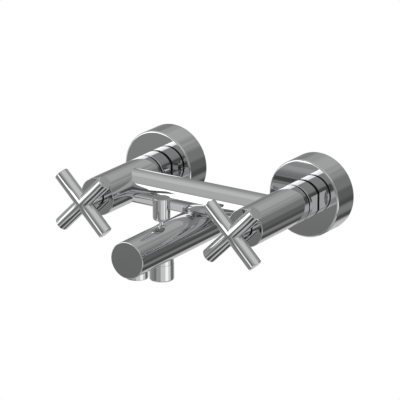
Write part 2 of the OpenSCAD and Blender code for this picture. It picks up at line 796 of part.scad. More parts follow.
// Aerator insert with a screen of fine holes in rings and two slots for its key
module aerator_insert() {
    low = aerator_end + 0.3;
    high = aerator_top - 1.2 - aerator_washer_t;
    body_r = aerator_thread_r - seat_fit;
    color("whitesmoke") on_spout(aerator_out) difference() {
        bore(body_r, low, high);
        bore(body_r - 1.6, low + 1.6, high + 1);
        bore(aerator_hole_r, low - 1, low + 2);
        for (row = [1:aerator_rows], i = [0:6 * row - 1])
            rotate([0, 0, i * 60 / row]) translate([row * aerator_pitch, 0, 0])
                bore(aerator_hole_r, low - 1, low + 2);
        for (a = [0, 180]) rotate([0, 0, a]) translate([body_r - 1, -1, low - 1]) cube([2, 2, 2.2]);
    }
}

// Rubber washer above the aerator
module aerator_washer() {
    color("black") on_spout(aerator_out)
        ring(aerator_thread_r - 0.1, aerator_thread_r - 2,
            aerator_top - 1.2 - aerator_washer_t, aerator_top - 1.2);
}

rose(HOT);  // hot_rose
rose(COLD);  // cold_rose
rose_seal(HOT);  // hot_rose_seal
rose_seal(COLD);  // cold_rose_seal
wall_union(HOT);  // hot_wall_union
wall_union(COLD);  // cold_wall_union
inlet_strainer(HOT);  // hot_inlet_strainer
inlet_strainer(COLD);  // cold_inlet_strainer
union_washer(HOT);  // hot_union_washer
union_washer(COLD);  // cold_union_washer
union_nut(HOT);  // hot_union_nut
union_nut(COLD);  // cold_union_nut
inlet_tail(HOT);  // hot_inlet_tail
inlet_tail(COLD);  // cold_inlet_tail
inlet_check_cage(HOT);  // hot_check_cage
inlet_check_cage(COLD);  // cold_check_cage
inlet_check_poppet(HOT);  // hot_check_poppet
inlet_check_poppet(COLD);  // cold_check_poppet
shroud(HOT);  // hot_shroud
shroud(COLD);  // cold_shroud
body_gasket(HOT);  // hot_body_gasket
body_gasket(COLD);  // cold_body_gasket
valve_body(HOT);  // hot_valve_body
valve_body(COLD);  // cold_valve_body
cartridge_bonnet(HOT);  // hot_cartridge_bonnet
cartridge_bonnet(COLD);  // cold_cartridge_bonnet
seat_seal(HOT);  // hot_seat_seal
seat_seal(COLD);  // cold_seat_seal
fixed_disc(HOT);  // hot_fixed_disc
fixed_disc(COLD);  // cold_fixed_disc
moving_disc(HOT);  // hot_moving_disc
moving_disc(COLD);  // cold_moving_disc
spindle(HOT);  // hot_spindle
spindle(COLD);  // cold_spindle
spindle_o_ring(HOT);  // hot_spindle_o_ring
spindle_o_ring(COLD);  // cold_spindle_o_ring
spindle_circlip(HOT);  // hot_spindle_circlip
spindle_circlip(COLD);  // cold_spindle_circlip
front_cap(HOT);  // hot_front_cap
front_cap(COLD);  // cold_front_cap
handle(HOT);  // hot_handle
handle(COLD);  // cold_handle
grub_screw(HOT);  // hot_grub_screw
grub_screw(COLD);  // cold_grub_screw
crossbar();
spout_tube();
spout_end_plug();
spout_back_plug();
diverter_divider();
diverter_gland();
diverter_gland_o_ring();
diverter_knob();
diverter_stem();
diverter_washers();
hose_outlet();
hose_check_cage();
hose_check_poppet();
aerator_collar();
aerator_insert();
aerator_washer();
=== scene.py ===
"""Finishes, studio and camera for the wall mixer tap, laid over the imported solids.

Every finished piece is drawn in millimetres and only then scaled to metres. Its sizes are read back
from the boxes of the solids, or repeat the source's own values where no box gives them. Three things
go beyond the solids: the wall unions' thread, the two spanner flats of each sleeve, and the outlines
of the black washers at the sleeve's two ends.
"""
import json
import math

import bmesh
import bpy
from mathutils import Matrix, Vector

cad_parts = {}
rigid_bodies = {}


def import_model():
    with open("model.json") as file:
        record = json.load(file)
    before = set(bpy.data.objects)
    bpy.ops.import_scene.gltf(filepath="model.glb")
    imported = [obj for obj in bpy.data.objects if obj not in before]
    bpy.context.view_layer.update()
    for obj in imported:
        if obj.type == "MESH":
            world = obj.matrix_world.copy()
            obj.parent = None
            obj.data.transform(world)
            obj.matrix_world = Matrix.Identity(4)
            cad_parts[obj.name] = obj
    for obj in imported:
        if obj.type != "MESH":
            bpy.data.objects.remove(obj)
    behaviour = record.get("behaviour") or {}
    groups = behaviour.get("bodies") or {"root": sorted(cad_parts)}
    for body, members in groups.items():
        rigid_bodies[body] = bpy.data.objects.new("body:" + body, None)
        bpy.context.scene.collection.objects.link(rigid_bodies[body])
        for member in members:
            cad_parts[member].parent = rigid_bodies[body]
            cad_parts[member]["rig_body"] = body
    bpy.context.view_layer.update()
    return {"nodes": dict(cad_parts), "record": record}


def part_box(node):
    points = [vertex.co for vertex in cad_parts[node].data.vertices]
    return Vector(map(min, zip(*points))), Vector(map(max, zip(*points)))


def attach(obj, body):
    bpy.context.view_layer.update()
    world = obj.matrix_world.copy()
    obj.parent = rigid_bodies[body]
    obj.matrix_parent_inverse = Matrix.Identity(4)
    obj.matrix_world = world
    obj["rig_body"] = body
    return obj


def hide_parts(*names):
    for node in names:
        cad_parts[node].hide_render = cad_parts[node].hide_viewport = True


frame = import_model()
scene = bpy.context.scene

MM = 0.001
SIDES = {"hot": -1, "cold": 1}
X, Y, Z = 0, 1, 2


# Sizes from the solids, in millimetres

def span(node, axis):
    """Lowest and highest place of a solid along one axis."""
    low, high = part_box(node)
    return low[axis] / MM, high[axis] / MM


def radius_of(node, axis=X):
    """Half the width of a round solid."""
    low, high = span(node, axis)
    return (high - low) / 2


def middle_of(node, axis):
    """Place of a solid's middle along one axis."""
    low, high = span(node, axis)
    return (high + low) / 2


inlet_x = middle_of("cold_rose", X)
rose_r = radius_of("cold_rose")
rose_depth = -span("cold_rose", Y)[0]
barrel_r = radius_of("cold_valve_body")
barrel_back = -span("cold_valve_body", Y)[1]
barrel_front = -span("cold_valve_body", Y)[0]
shroud_back = -span("cold_shroud", Y)[1]
shroud_front = -span("cold_shroud", Y)[0]
cap_r = radius_of("cold_front_cap")
crossbar_r = radius_of("crossbar", Y)
crossbar_out = -middle_of("crossbar", Y)
spout_r = radius_of("spout_tube")
spout_z = middle_of("spout_tube", Z)
spout_back = -span("spout_tube", Y)[1]
spout_front = -span("spout_tube", Y)[0]
knob_r = radius_of("diverter_knob")
knob_low, knob_high = span("diverter_knob", Z)
diverter_out = -middle_of("diverter_knob", Y)
stem_low = span("diverter_stem", Z)[0]
gland_r = radius_of("diverter_gland")
gland_low, gland_high = span("diverter_gland", Z)
hose_r = radius_of("hose_outlet")
hose_end = span("hose_outlet", Z)[0]
aerator_r = radius_of("aerator_collar")
aerator_end = span("aerator_collar", Z)[0]
aerator_out = -middle_of("aerator_collar", Y)


# Sizes that no box gives, in millimetres. A name that ends in OUT is measured out from the wall.

ROSE_WALL = 1.5
ROSE_EDGE_R = 1.5

INLET_THREAD_D = 20.95
THREAD_PITCH = 1.814
THREAD_DEPTH = 1.16

SLEEVE_NECK_R = 14.6           # passes through the hole in the rose
ROSE_HOLE_R = SLEEVE_NECK_R + 0.15
SLEEVE_WALL = 1.4
SLEEVE_WEB_T = 4.0             # the thick end in front, round the inlet tail
SPANNER_FLATS = 30.0           # across the two flats of the sleeve
FLATS_END_OUT = 38.4           # where the sleeve goes back to its full round
SEAL_T = 1.7                   # the black washer between the rose and the sleeve
GASKET_T = 2.3                 # the black washer between the sleeve and the valve body
GASKET_BEVEL = 1.1             # how far its rim slopes in towards the sleeve
RIM_STEP = 0.05                # how far a washer's rim lies inside the metal's

TAIL_BORE_R = 9.55             # the valve body's bores, from the wall outwards
TAIL_BORE_L = 12.6
SEAT_BORE_R = 7.6
SEAT_OUT = 66.0
CHAMBER_R = 12.2
CHAMBER_END_OUT = 87.0
CARTRIDGE_BORE_R = 10.53
CARTRIDGE_BORE_END_OUT = 97.0
CAP_T = 3.0
CAP_SKIRT_END = 6.2            # behind the cap's face
CAP_SKIRT_WALL = 1.8

TUBE_WALL = 2.0
PLUG_T = 3.0
SNUG = 0.02                    # round a disc that is pressed in
BARREL_GAP = 0.03              # between the crossbar's ends and the valve bodies
NOTCH_GAP = 0.05               # between the spout's notch and the crossbar
UNDER_GAP = 0.02               # between the outlets and the spout's underside

STEM_R = 2.15
STEM_BOSS_R = STEM_R + 1
VALVE_PLATE_R = 6.8
GLAND_GAP = 0.05
HOSE_NECK_STEP = 0.25          # the thread's run-out under the spout
HOSE_NECK_L = 1.0
HOSE_POCKET_R = 7.55           # holds the check valve
HOSE_POCKET_L = 12.0
HOSE_BORE_R = 5.6
AERATOR_WALL = 1.5

ROD_R = 6.35
ROD_LENGTH = 65.0
ROD_CHAMFER = 0.7
HANDLE_OUT = 138.4
NECK_GAP = 0.8                 # between the handle's neck and the hole in the front cap
NECK_SUNK = 4.0                # how far the neck goes in behind the cap's face


# Turned and coped meshes

AROUND = 192                   # facets round a turned surface
ROUND = 12                     # steps in a rounding that is wide enough to be seen as one
EASE_STEPS = 4                 # steps in any other rounding
EASE_HOLD = 0.04               # between the two points on each straight beside a rounding
THREAD_STEPS = 12              # rows in one turn of a thread
CREASE = 32.0                  # edges sharper than this many degrees stay crisp
FLAT_CREASE = 15.0             # the same where flats meet a round


def eased(section):
    """Rounds the corners of a closed half section.

    A point is (radius, height), (radius, height, ease) or (radius, height, ease, steps). ease is how
    far from the corner the rounding starts, and steps asks for a true quarter circle. Two close
    points on each straight keep the shading of the flat beside it true. A coped end, whose height is
    a function, counts as lying above.
    """
    out = []
    for i, point in enumerate(section):
        ease = point[2] if len(point) > 2 else 0.0
        if ease <= 0 or callable(point[1]):
            out.append((point[0], point[1]))
            continue
        here = Vector(point[:2])
        before, after = [Vector((p[0], here.y + 10 if callable(p[1]) else p[1]))
                         for p in (section[i - 1], section[(i + 1) % len(section)])]
        to_before = (before - here).normalized()
        to_after = (after - here).normalized()
        ease_in = min(ease, (before - here).length * 0.48)
        ease_out = min(ease, (after - here).length * 0.48)
        a, b = here + to_before * ease_in, here + to_after * ease_out
        if (before - here).length > ease + 4 * EASE_HOLD:
            out.append(tuple(a + to_before * EASE_HOLD))
        if len(point) > 3:
            centre = a + b - here
            for k in range(point[3] + 1):
                turn = math.pi / 2 * k / point[3]
                out.append(tuple(centre + (a - centre) * math.cos(turn) + (b - centre) * math.sin(turn)))
        else:
            for k in range(EASE_STEPS + 1):
                t = k / EASE_STEPS
                out.append(tuple(a * (1 - t) ** 2 + here * (2 * t * (1 - t)) + b * t ** 2))
        if (after - here).length > ease + 4 * EASE_HOLD:
            out.append(tuple(b + to_after * EASE_HOLD))
    return out


def ring(verts, radius, height, around=AROUND):
    """Adds a ring of points about the local Z axis and gives their numbers.

    A height may be a function of the angle and the radius, which is how a tube's end is coped, and a
    radius may be a function of the angle, which is how flats and threads are cut.
    """
    first = len(verts)
    for k in range(around):
        angle = 2 * math.pi * k / around
        r = radius(angle) if callable(radius) else radius
        h = height(angle, radius) if callable(height) else height
        verts.append((r * math.cos(angle), r * math.sin(angle), h))
    return range(first, len(verts))


def lathe(section):
    """Vertices and faces of a closed section turned about the local Z axis."""
    verts, faces, rows = [], [], []
    for radius, height in section:
        if callable(radius) or radius > 0:
            rows.append(ring(verts, radius, height))
        else:
            rows.append([len(verts)] * AROUND)
            verts.append((0.0, 0.0, height))
    for i, a in enumerate(rows):
        b = rows[(i + 1) % len(rows)]
        for k in range(AROUND):
            n = (k + 1) % AROUND
            corners = list(dict.fromkeys((a[k], a[n], b[n], b[k])))
            if len(corners) > 2:
                faces.append(corners)
    return verts, faces


def tidy(mesh, crease):
    """Merges doubles, turns the faces outwards, and shades smoothly up to an angle."""
    work = bmesh.new()
    work.from_mesh(mesh)
    bmesh.ops.remove_doubles(work, verts=work.verts, dist=1e-6)
    bmesh.ops.dissolve_degenerate(work, edges=work.edges, dist=1e-7)
    bmesh.ops.recalc_face_normals(work, faces=work.faces)
    for face in work.faces:
        face.smooth = True
    limit = math.radians(crease)
    for edge in work.edges:
        edge.smooth = len(edge.link_faces) == 2 and edge.calc_face_angle(0.0) < limit
    work.to_mesh(mesh)
    work.free()


def placed(name, mesh, crease=CREASE):
    """A tidied mesh as an object of the scene."""
    tidy(mesh, crease)
    piece = bpy.data.objects.new(name, mesh)
    scene.collection.objects.link(piece)
    return piece


def mesh_object(name, verts, faces, place, crease=CREASE):
    """A piece from points in millimetres, put in its place."""
    mesh = bpy.data.meshes.new(name)
    mesh.from_pydata([place @ Vector(v) * MM for v in verts], [], faces)
    return placed(name, mesh, crease)


def turned(name, section, place):
    """A piece turned from a half section with eased corners."""
    verts, faces = lathe(eased(section))
    return mesh_object(name, verts, faces, place)


def out_from_wall(x=0.0, z=0.0):
    """Turns a local Z axis into the way out from the wall."""
    return Matrix.Translation((x, 0, z)) @ Matrix.Rotation(math.radians(90), 4, "X")


def upright(out):
    """Puts a local Z axis upright, at a distance from the wall."""
    return Matrix.Translation((0, -out, 0))


# What shader and geometry trees share

def plug(tree, value, socket):
    """Links an output to an input, or sets a number on it."""
    if hasattr(value, "is_output"):
        tree.links.new(value, socket)
    else:
        socket.default_value = value


def maths(tree, operation, *values):
    """The result of a Math node whose operands are sockets or numbers."""
    node = tree.nodes.new("ShaderNodeMath")
    node.operation = operation
    for socket, value in zip(node.inputs, values):
        plug(tree, value, socket)
    return node.outputs[0]


# Finishes

def shader_group(name, inputs, outputs):
    """A shader group with named float inputs, given as name: default, and named float outputs."""
    tree = bpy.data.node_groups.new(name, "ShaderNodeTree")
    for key, value in inputs.items():
        socket = tree.interface.new_socket(name=key, in_out="INPUT", socket_type="NodeSocketFloat")
        socket.default_value = value
    for key in outputs:
        tree.interface.new_socket(name=key, in_out="OUTPUT", socket_type="NodeSocketFloat")
    return tree, tree.nodes.new("NodeGroupInput"), tree.nodes.new("NodeGroupOutput")


def own_coordinates(tree):
    """The piece's own coordinates, in metres."""
    return tree.nodes.new("ShaderNodeTexCoord").outputs["Object"]


def noise(tree, where, scale, detail):
    """A noise from 0 to 1 over some coordinates."""
    node = tree.nodes.new("ShaderNodeTexNoise")
    node.noise_dimensions = "3D"
    node.inputs["Detail"].default_value = detail
    tree.links.new(where, node.inputs["Vector"])
    plug(tree, scale, node.inputs["Scale"])
    return node.outputs[0]


def swing(tree, pattern, spread):
    """A pattern from 0 to 1, moved to lie round zero and scaled by its spread."""
    return maths(tree, "MULTIPLY", maths(tree, "SUBTRACT", pattern, 0.5), spread)


def make_handling_group():
    """Faint finger and water marks: they change the roughness a little over the surface."""
    tree, source, sink = shader_group(
        "handling marks",
        {"Polish": 0.04, "Mark strength": 0.03, "Mark size": 60.0, "Fine size": 900.0},
        ("Roughness", "Height"))
    where = own_coordinates(tree)
    broad = noise(tree, where, source.outputs["Mark size"], 3.0)
    fine = noise(tree, where, source.outputs["Fine size"], 4.0)
    patch = tree.nodes.new("ShaderNodeMapRange")
    patch.inputs["From Min"].default_value = 0.45
    patch.inputs["From Max"].default_value = 0.75
    tree.links.new(broad, patch.inputs["Value"])
    mark = maths(tree, "MULTIPLY", patch.outputs[0], fine)
    mark = maths(tree, "MULTIPLY", mark, source.outputs["Mark strength"])
    tree.links.new(maths(tree, "ADD", mark, source.outputs["Polish"]), sink.inputs["Roughness"])
    tree.links.new(broad, sink.inputs["Height"])
    return tree


def make_grain_group():
    """Moulded or pressed grain, with a slow change of shade over it."""
    tree, source, sink = shader_group(
        "moulded grain",
        {"Grain size": 2500.0, "Roughness": 0.5, "Roughness spread": 0.1, "Shade spread": 0.2},
        ("Roughness", "Height", "Shade"))
    given = source.outputs
    where = own_coordinates(tree)
    grain = noise(tree, where, given["Grain size"], 5.0)
    slow = noise(tree, where, 120.0, 2.0)
    rough = maths(tree, "ADD", swing(tree, grain, given["Roughness spread"]), given["Roughness"])
    tree.links.new(rough, sink.inputs["Roughness"])
    tree.links.new(grain, sink.inputs["Height"])
    tree.links.new(maths(tree, "ADD", swing(tree, slow, given["Shade spread"]), 0.5), sink.inputs["Shade"])
    return tree


def make_lathe_line_group():
    """Fine lines that a turning tool leaves along the way out from the wall."""
    tree, source, sink = shader_group(
        "lathe lines", {"Line size": 900.0, "Roughness": 0.25, "Roughness spread": 0.15},
        ("Roughness", "Height"))
    given = source.outputs
    squash = tree.nodes.new("ShaderNodeMapping")
    squash.inputs["Scale"].default_value = (0.02, 1.0, 0.02)
    tree.links.new(own_coordinates(tree), squash.inputs["Vector"])
    lines = noise(tree, squash.outputs[0], given["Line size"], 2.0)
    rough = maths(tree, "ADD", swing(tree, lines, given["Roughness spread"]), given["Roughness"])
    tree.links.new(rough, sink.inputs["Roughness"])
    tree.links.new(lines, sink.inputs["Height"])
    return tree


HANDLING = make_handling_group()
GRAIN = make_grain_group()
LATHE_LINES = make_lathe_line_group()


def material(name, effect, values, colour, metallic=0.0, bump=0.0, bump_depth=0.0001, shades=None,
             gloss=0.5):
    """A Principled material whose roughness, shade and bump come from a shared effect group."""
    made = bpy.data.materials.new(name)
    made.use_nodes = True
    tree = made.node_tree
    shader = tree.nodes["Principled BSDF"]
    shader.inputs["Base Color"].default_value = (*colour, 1)
    shader.inputs["Metallic"].default_value = metallic
    shader.inputs["Specular IOR Level"].default_value = gloss
    node = tree.nodes.new("ShaderNodeGroup")
    node.node_tree = effect
    for key, value in values.items():
        node.inputs[key].default_value = value
    tree.links.new(node.outputs["Roughness"], shader.inputs["Roughness"])
    if bump:
        raised = tree.nodes.new("ShaderNodeBump")
        raised.inputs["Strength"].default_value = bump
        raised.inputs["Distance"].default_value = bump_depth
        tree.links.new(node.outputs["Height"], raised.inputs["Height"])
        tree.links.new(raised.outputs[0], shader.inputs["Normal"])
    if shades:
        ramp = tree.nodes.new("ShaderNodeValToRGB")
        for stop, place, shade in zip(ramp.color_ramp.elements, (0.3, 0.7), shades):
            stop.position = place
            stop.color = (*shade, 1)
        tree.links.new(node.outputs["Shade"], ramp.inputs["Fac"])
        tree.links.new(ramp.outputs[0], shader.inputs["Base Color"])
    return made


CHROME = material("polished chrome plate", HANDLING,
                  {"Polish": 0.02, "Mark strength": 0.03}, (0.60, 0.604, 0.608), metallic=1.0)
BRASS = material("machined brass", LATHE_LINES, {"Roughness": 0.28},
                 (0.72, 0.53, 0.25), metallic=1.0, bump=0.25, bump_depth=0.00004)
NICKEL = material("nickelled brass", LATHE_LINES, {"Roughness": 0.24},
                  (0.66, 0.63, 0.56), metallic=1.0, bump=0.2, bump_depth=0.00003)
STEEL = material("stainless steel", LATHE_LINES, {"Roughness": 0.3},
                 (0.50, 0.50, 0.51), metallic=1.0, bump=0.15, bump_depth=0.00003)
RUBBER = material("black rubber", GRAIN, {"Roughness": 0.6, "Grain size": 3500.0}, (0.004, 0.004, 0.004),
                  bump=0.2, bump_depth=0.00005, shades=((0.003, 0.003, 0.003), (0.006, 0.006, 0.006)),
                  gloss=0.1)
FIBRE = material("red fibre", GRAIN, {"Roughness": 0.8, "Shade spread": 0.8}, (0.30, 0.09, 0.05),
                 bump=0.4, bump_depth=0.0001, shades=((0.24, 0.07, 0.04), (0.36, 0.12, 0.07)))
CERAMIC = material("lapped ceramic", GRAIN, {"Roughness": 0.18, "Grain size": 5000.0},
                   (0.86, 0.84, 0.78), shades=((0.84, 0.82, 0.75), (0.89, 0.87, 0.82)))
BLUE_PLASTIC = material("blue moulded plastic", GRAIN, {"Roughness": 0.42}, (0.02, 0.16, 0.42),
                        bump=0.1, bump_depth=0.00004, shades=((0.018, 0.14, 0.38), (0.024, 0.18, 0.46)))
WHITE_PLASTIC = material("white moulded plastic", GRAIN, {"Roughness": 0.4}, (0.82, 0.83, 0.84),
                         bump=0.1, bump_depth=0.00004, shades=((0.79, 0.80, 0.81), (0.85, 0.86, 0.87)))

FINISH = {
    "chrome_plate": CHROME, "raw_brass": BRASS, "nickelled_brass": NICKEL, "black_rubber": RUBBER,
    "fibre": FIBRE, "steel": STEEL, "white_ceramic": CERAMIC,
    "check_valve_plastic": BLUE_PLASTIC, "white_plastic": WHITE_PLASTIC}

slot_of = {part["node"]: part["material_slot"] for part in frame["record"]["subparts"]}
for node_name, node_object in frame["nodes"].items():
    node_object.data.materials.clear()
    node_object.data.materials.append(FINISH[slot_of[node_name]])


def finish(piece, node):
    """Gives a piece the finish of the solid it stands for, and hangs it on that solid's body."""
    piece.data.materials.clear()
    piece.data.materials.append(FINISH[slot_of[node]])
    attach(piece, frame["nodes"][node]["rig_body"])
    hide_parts(node)


# Wall unions, sleeves, roses and valve bodies

def flatted(full, across_flats, less=0.0):
    """A round radius by angle, with a spanner flat on its left and on its right."""
    def radius(angle):
        sideways = max(abs(math.cos(angle)), 0.1)
        return min(full, across_flats / 2 / sideways) - less
    return radius


def thread_rows(crest_r, low, high):
    """Rows for lathe of a half-inch pipe thread, which runs out at both ends."""
    count = round((high - low) / THREAD_PITCH * THREAD_STEPS)
    rows = []
    for i in range(count + 1):
        height = low + (high - low) * i / count
        depth = THREAD_DEPTH * min(1.0, (height - low) / THREAD_PITCH, (high - height) / THREAD_PITCH)

        def radius(angle, height=height, depth=depth):
            turn = (height / THREAD_PITCH - angle / (2 * math.pi)) % 1.0
            valley = 1.0 - abs(2.0 * turn - 1.0)
            # The crest and the root keep a narrow flat.
            return crest_r - depth * min(1.0, max(0.0, 1.3 * valley - 0.15))
        rows.append((radius, height))
    return rows


def build_wall_union(side, place):
    """The brass union that screws into the wall, with its thread cut."""
    back, front = -span(f"{side}_wall_union", Y)[1], -span(f"{side}_wall_union", Y)[0]
    bore_r, nose_r, collar_r, collar_t = 7.0, 13.2, 14.8, 4.0
    rim, recess = 1.0, 1.2
    thread_r = INLET_THREAD_D / 2
    thread_start, thread_end = back + 0.8, -1.0
    collar = flatted(collar_r, collar_r * 1.8)
    verts, faces = lathe([
        (bore_r, back), (thread_r - rim, back), (thread_r - 0.4, back + 0.6),
        *thread_rows(thread_r, thread_start, thread_end),
        (thread_r, 0.0), (collar, 0.0), (collar, collar_t),
        (nose_r, collar_t), (nose_r, front - rim), (nose_r - rim, front),
        (bore_r + rim, front), (bore_r + rim, front - recess), (bore_r, front - recess)])
    finish(mesh_object(f"{side}_threaded_union", verts, faces, place), f"{side}_wall_union")


def build_sleeve(side, place):
    """The sleeve between rose and valve body, and the black washers at its two ends."""
    bore_r = SLEEVE_NECK_R - SLEEVE_WALL
    start = rose_depth + SEAL_T
    end = barrel_back - GASKET_T
    web = shroud_front - SLEEVE_WEB_T
    outline = flatted(barrel_r, SPANNER_FLATS)
    seal_r = flatted(barrel_r, SPANNER_FLATS, RIM_STEP)
    back = [(bore_r, shroud_back), (SLEEVE_NECK_R, shroud_back), (SLEEVE_NECK_R, start)]
    front = eased([(barrel_r, FLATS_END_OUT), (barrel_r, end, 0.5, ROUND), (TAIL_BORE_R, end)])
    verts, faces = lathe([*back, (seal_r, start), (outline, start + 0.06), (outline, FLATS_END_OUT),
                          *front, (TAIL_BORE_R, web), (bore_r, web)])
    finish(mesh_object(f"{side}_shroud_tube", verts, faces, place, FLAT_CREASE), f"{side}_shroud")
    hole_r = ROSE_HOLE_R - 0.1
    verts, faces = lathe([(hole_r, rose_depth), (seal_r, rose_depth), (seal_r, start), (hole_r, start)])
    finish(mesh_object(f"{side}_rose_seal_ring", verts, faces, place, FLAT_CREASE), f"{side}_rose_seal")
    finish(turned(f"{side}_body_gasket_ring", [
        (TAIL_BORE_R, end), (barrel_r - GASKET_BEVEL, end),
        (barrel_r - RIM_STEP, barrel_back, 0.05), (TAIL_BORE_R, barrel_back)], place),
        f"{side}_body_gasket")


def build_rose(side, place):
    """The hollow rose, with its hole round the sleeve's neck."""
    inner, plate_back = rose_r - ROSE_WALL, rose_depth - ROSE_WALL
    finish(turned(f"{side}_rose_shell", [
        (inner, 0.0, 0.2), (rose_r, 0.0, 0.3), (rose_r, rose_depth, ROSE_EDGE_R, ROUND),
        (ROSE_HOLE_R, rose_depth, 0.1), (ROSE_HOLE_R, plate_back), (inner, plate_back, 0.6)], place),
        f"{side}_rose")


def build_valve_body(side, place):
    """The valve body with its bores, and the front cap that closes it."""
    tail_bore_end = barrel_back + TAIL_BORE_L
    mouth_r = cap_r + SNUG
    finish(turned(f"{side}_valve_barrel", [
        (TAIL_BORE_R, barrel_back), (barrel_r, barrel_back, 0.1), (barrel_r, barrel_front, 0.5),
        (mouth_r, barrel_front), (mouth_r, CARTRIDGE_BORE_END_OUT),
        (CARTRIDGE_BORE_R, CARTRIDGE_BORE_END_OUT), (CARTRIDGE_BORE_R, CHAMBER_END_OUT),
        (CHAMBER_R, CHAMBER_END_OUT), (CHAMBER_R, SEAT_OUT), (SEAT_BORE_R, SEAT_OUT),
        (SEAT_BORE_R, tail_bore_end), (TAIL_BORE_R, tail_bore_end)], place), f"{side}_valve_body")
    hole_r, skirt_r = ROD_R + NECK_GAP, cap_r - CAP_SKIRT_WALL
    disc_back, skirt_end = barrel_front - CAP_T, barrel_front - CAP_SKIRT_END
    finish(turned(f"{side}_front_cap_disc", [
        (hole_r, barrel_front, 0.25), (cap_r, barrel_front), (cap_r, skirt_end),
        (skirt_r, skirt_end), (skirt_r, disc_back), (hole_r, disc_back)], place), f"{side}_front_cap")


for side_name, direction in SIDES.items():
    side_place = out_from_wall(direction * inlet_x)
    build_wall_union(side_name, side_place)
    build_sleeve(side_name, side_place)
    build_rose(side_name, side_place)
    build_valve_body(side_name, side_place)


# Crossbar and spout

def barrel_saddle(angle, radius):
    """How far from the middle the crossbar's surface meets a valve body."""
    height = radius * math.sin(angle)
    return inlet_x - math.sqrt(barrel_r ** 2 - height ** 2) + BARREL_GAP


def build_crossbar():
    """A tube whose ends follow the round of the valve bodies."""
    def left_saddle(angle, radius):
        return -barrel_saddle(angle, radius)

    along_wall = Matrix(((0, 0, 1, 0), (1, 0, 0, -crossbar_out), (0, 1, 0, 0), (0, 0, 0, 1)))
    inner = crossbar_r - TUBE_WALL
    verts, faces = lathe([(crossbar_r, left_saddle), (crossbar_r, barrel_saddle),
                          (inner, barrel_saddle), (inner, left_saddle)])
    finish(mesh_object("crossbar_tube", verts, faces, along_wall), "crossbar")


def crossbar_notch(angle, radius):
    """Half the length that the crossbar takes out of the spout at an angle from its right side."""
    height = spout_z + radius * math.sin(angle)
    return math.sqrt(max(0.0, (crossbar_r - NOTCH_GAP) ** 2 - height ** 2))


def build_spout_tube():
    """A tube with a saddle cut where the crossbar lies in its top."""
    around = 2 * AROUND
    inner = spout_r - TUBE_WALL

    def behind(angle, radius):
        return crossbar_out - crossbar_notch(angle, radius)

    def before(angle, radius):
        return crossbar_out + crossbar_notch(angle, radius)

    def cut_at(k, radius):
        return crossbar_notch(2 * math.pi * k / around, radius) > 0

    front = eased([(spout_r, spout_back), (spout_r, spout_front, 0.6), (inner, spout_front),
                   (inner, spout_back)])[1:-1]
    verts, faces = [], []
    rows = [ring(verts, *point, around) for point in (
        (spout_r, spout_back), (spout_r, behind), (spout_r, before), *front,
        (inner, before), (inner, behind), (inner, spout_back))]
    cut_rows = {1: spout_r, len(rows) - 3: inner}
    for i, a in enumerate(rows):
        b = rows[(i + 1) % len(rows)]
        for k in range(around):
            n = (k + 1) % around
            if i in cut_rows and (cut_at(k, cut_rows[i]) or cut_at(n, cut_rows[i])):
                continue
            faces.append([a[k], a[n], b[n], b[k]])
    # The notch's own edges, through the tube's wall
    for k in range(around):
        n = (k + 1) % around
        if any(cut_at(j, radius) for j in (k, n) for radius in (spout_r, inner)):
            for outer_row, inner_row in ((rows[1], rows[-2]), (rows[2], rows[-3])):
                faces.append([outer_row[k], outer_row[n], inner_row[n], inner_row[k]])
    finish(mesh_object("spout_pipe", verts, faces, out_from_wall(0, spout_z)), "spout_tube")


def build_spout_plugs():
    """The discs that close the two ends of the spout."""
    plug_r = spout_r - TUBE_WALL - SNUG
    along_spout = out_from_wall(0, spout_z)
    end_back, back_front = spout_front - PLUG_T, spout_back + PLUG_T
    finish(turned("spout_end_disc", [
        (0, end_back), (plug_r, end_back), (plug_r, spout_front), (0, spout_front)], along_spout),
        "spout_end_plug")
    finish(turned("spout_back_disc", [
        (0, spout_back), (plug_r, spout_back, 0.2), (plug_r, back_front), (0, back_front)], along_spout),
        "spout_back_plug")


build_crossbar()
build_spout_tube()
build_spout_plugs()


# Diverter, hose outlet and aerator

def under_spout(angle, radius):
    """Height at which an upright round surface meets the underside of the spout."""
    across = radius * math.cos(angle)
    return spout_z - math.sqrt(spout_r ** 2 - across ** 2) + UNDER_GAP


def build_diverter():
    """The pull-up knob, its stem with the valve plate, and the gland that guides it."""
    place = upright(diverter_out)
    finish(turned("diverter_knob_body", [
        (0, knob_low), (knob_r, knob_low, 2.6), (knob_r, knob_high, 0.4), (0, knob_high)], place),
        "diverter_knob")
    plate_low, plate_high, boss_high = stem_low + 1.3, stem_low + 2.5, stem_low + 3.8
    stem_top = knob_low + 1.0
    finish(turned("diverter_stem_rod", [
        (0, stem_low), (STEM_BOSS_R, stem_low), (STEM_BOSS_R, plate_low), (VALVE_PLATE_R, plate_low),
        (VALVE_PLATE_R, plate_high), (STEM_BOSS_R, plate_high), (STEM_BOSS_R, boss_high),
        (STEM_R, boss_high), (STEM_R, stem_top), (0, stem_top)], place), "diverter_stem")
    guide_r = STEM_R + GLAND_GAP
    finish(turned("diverter_gland_bush", [
        (guide_r, gland_low), (gland_r, gland_low), (gland_r, gland_high, 0.4),
        (guide_r, gland_high, 0.2)], place), "diverter_gland")


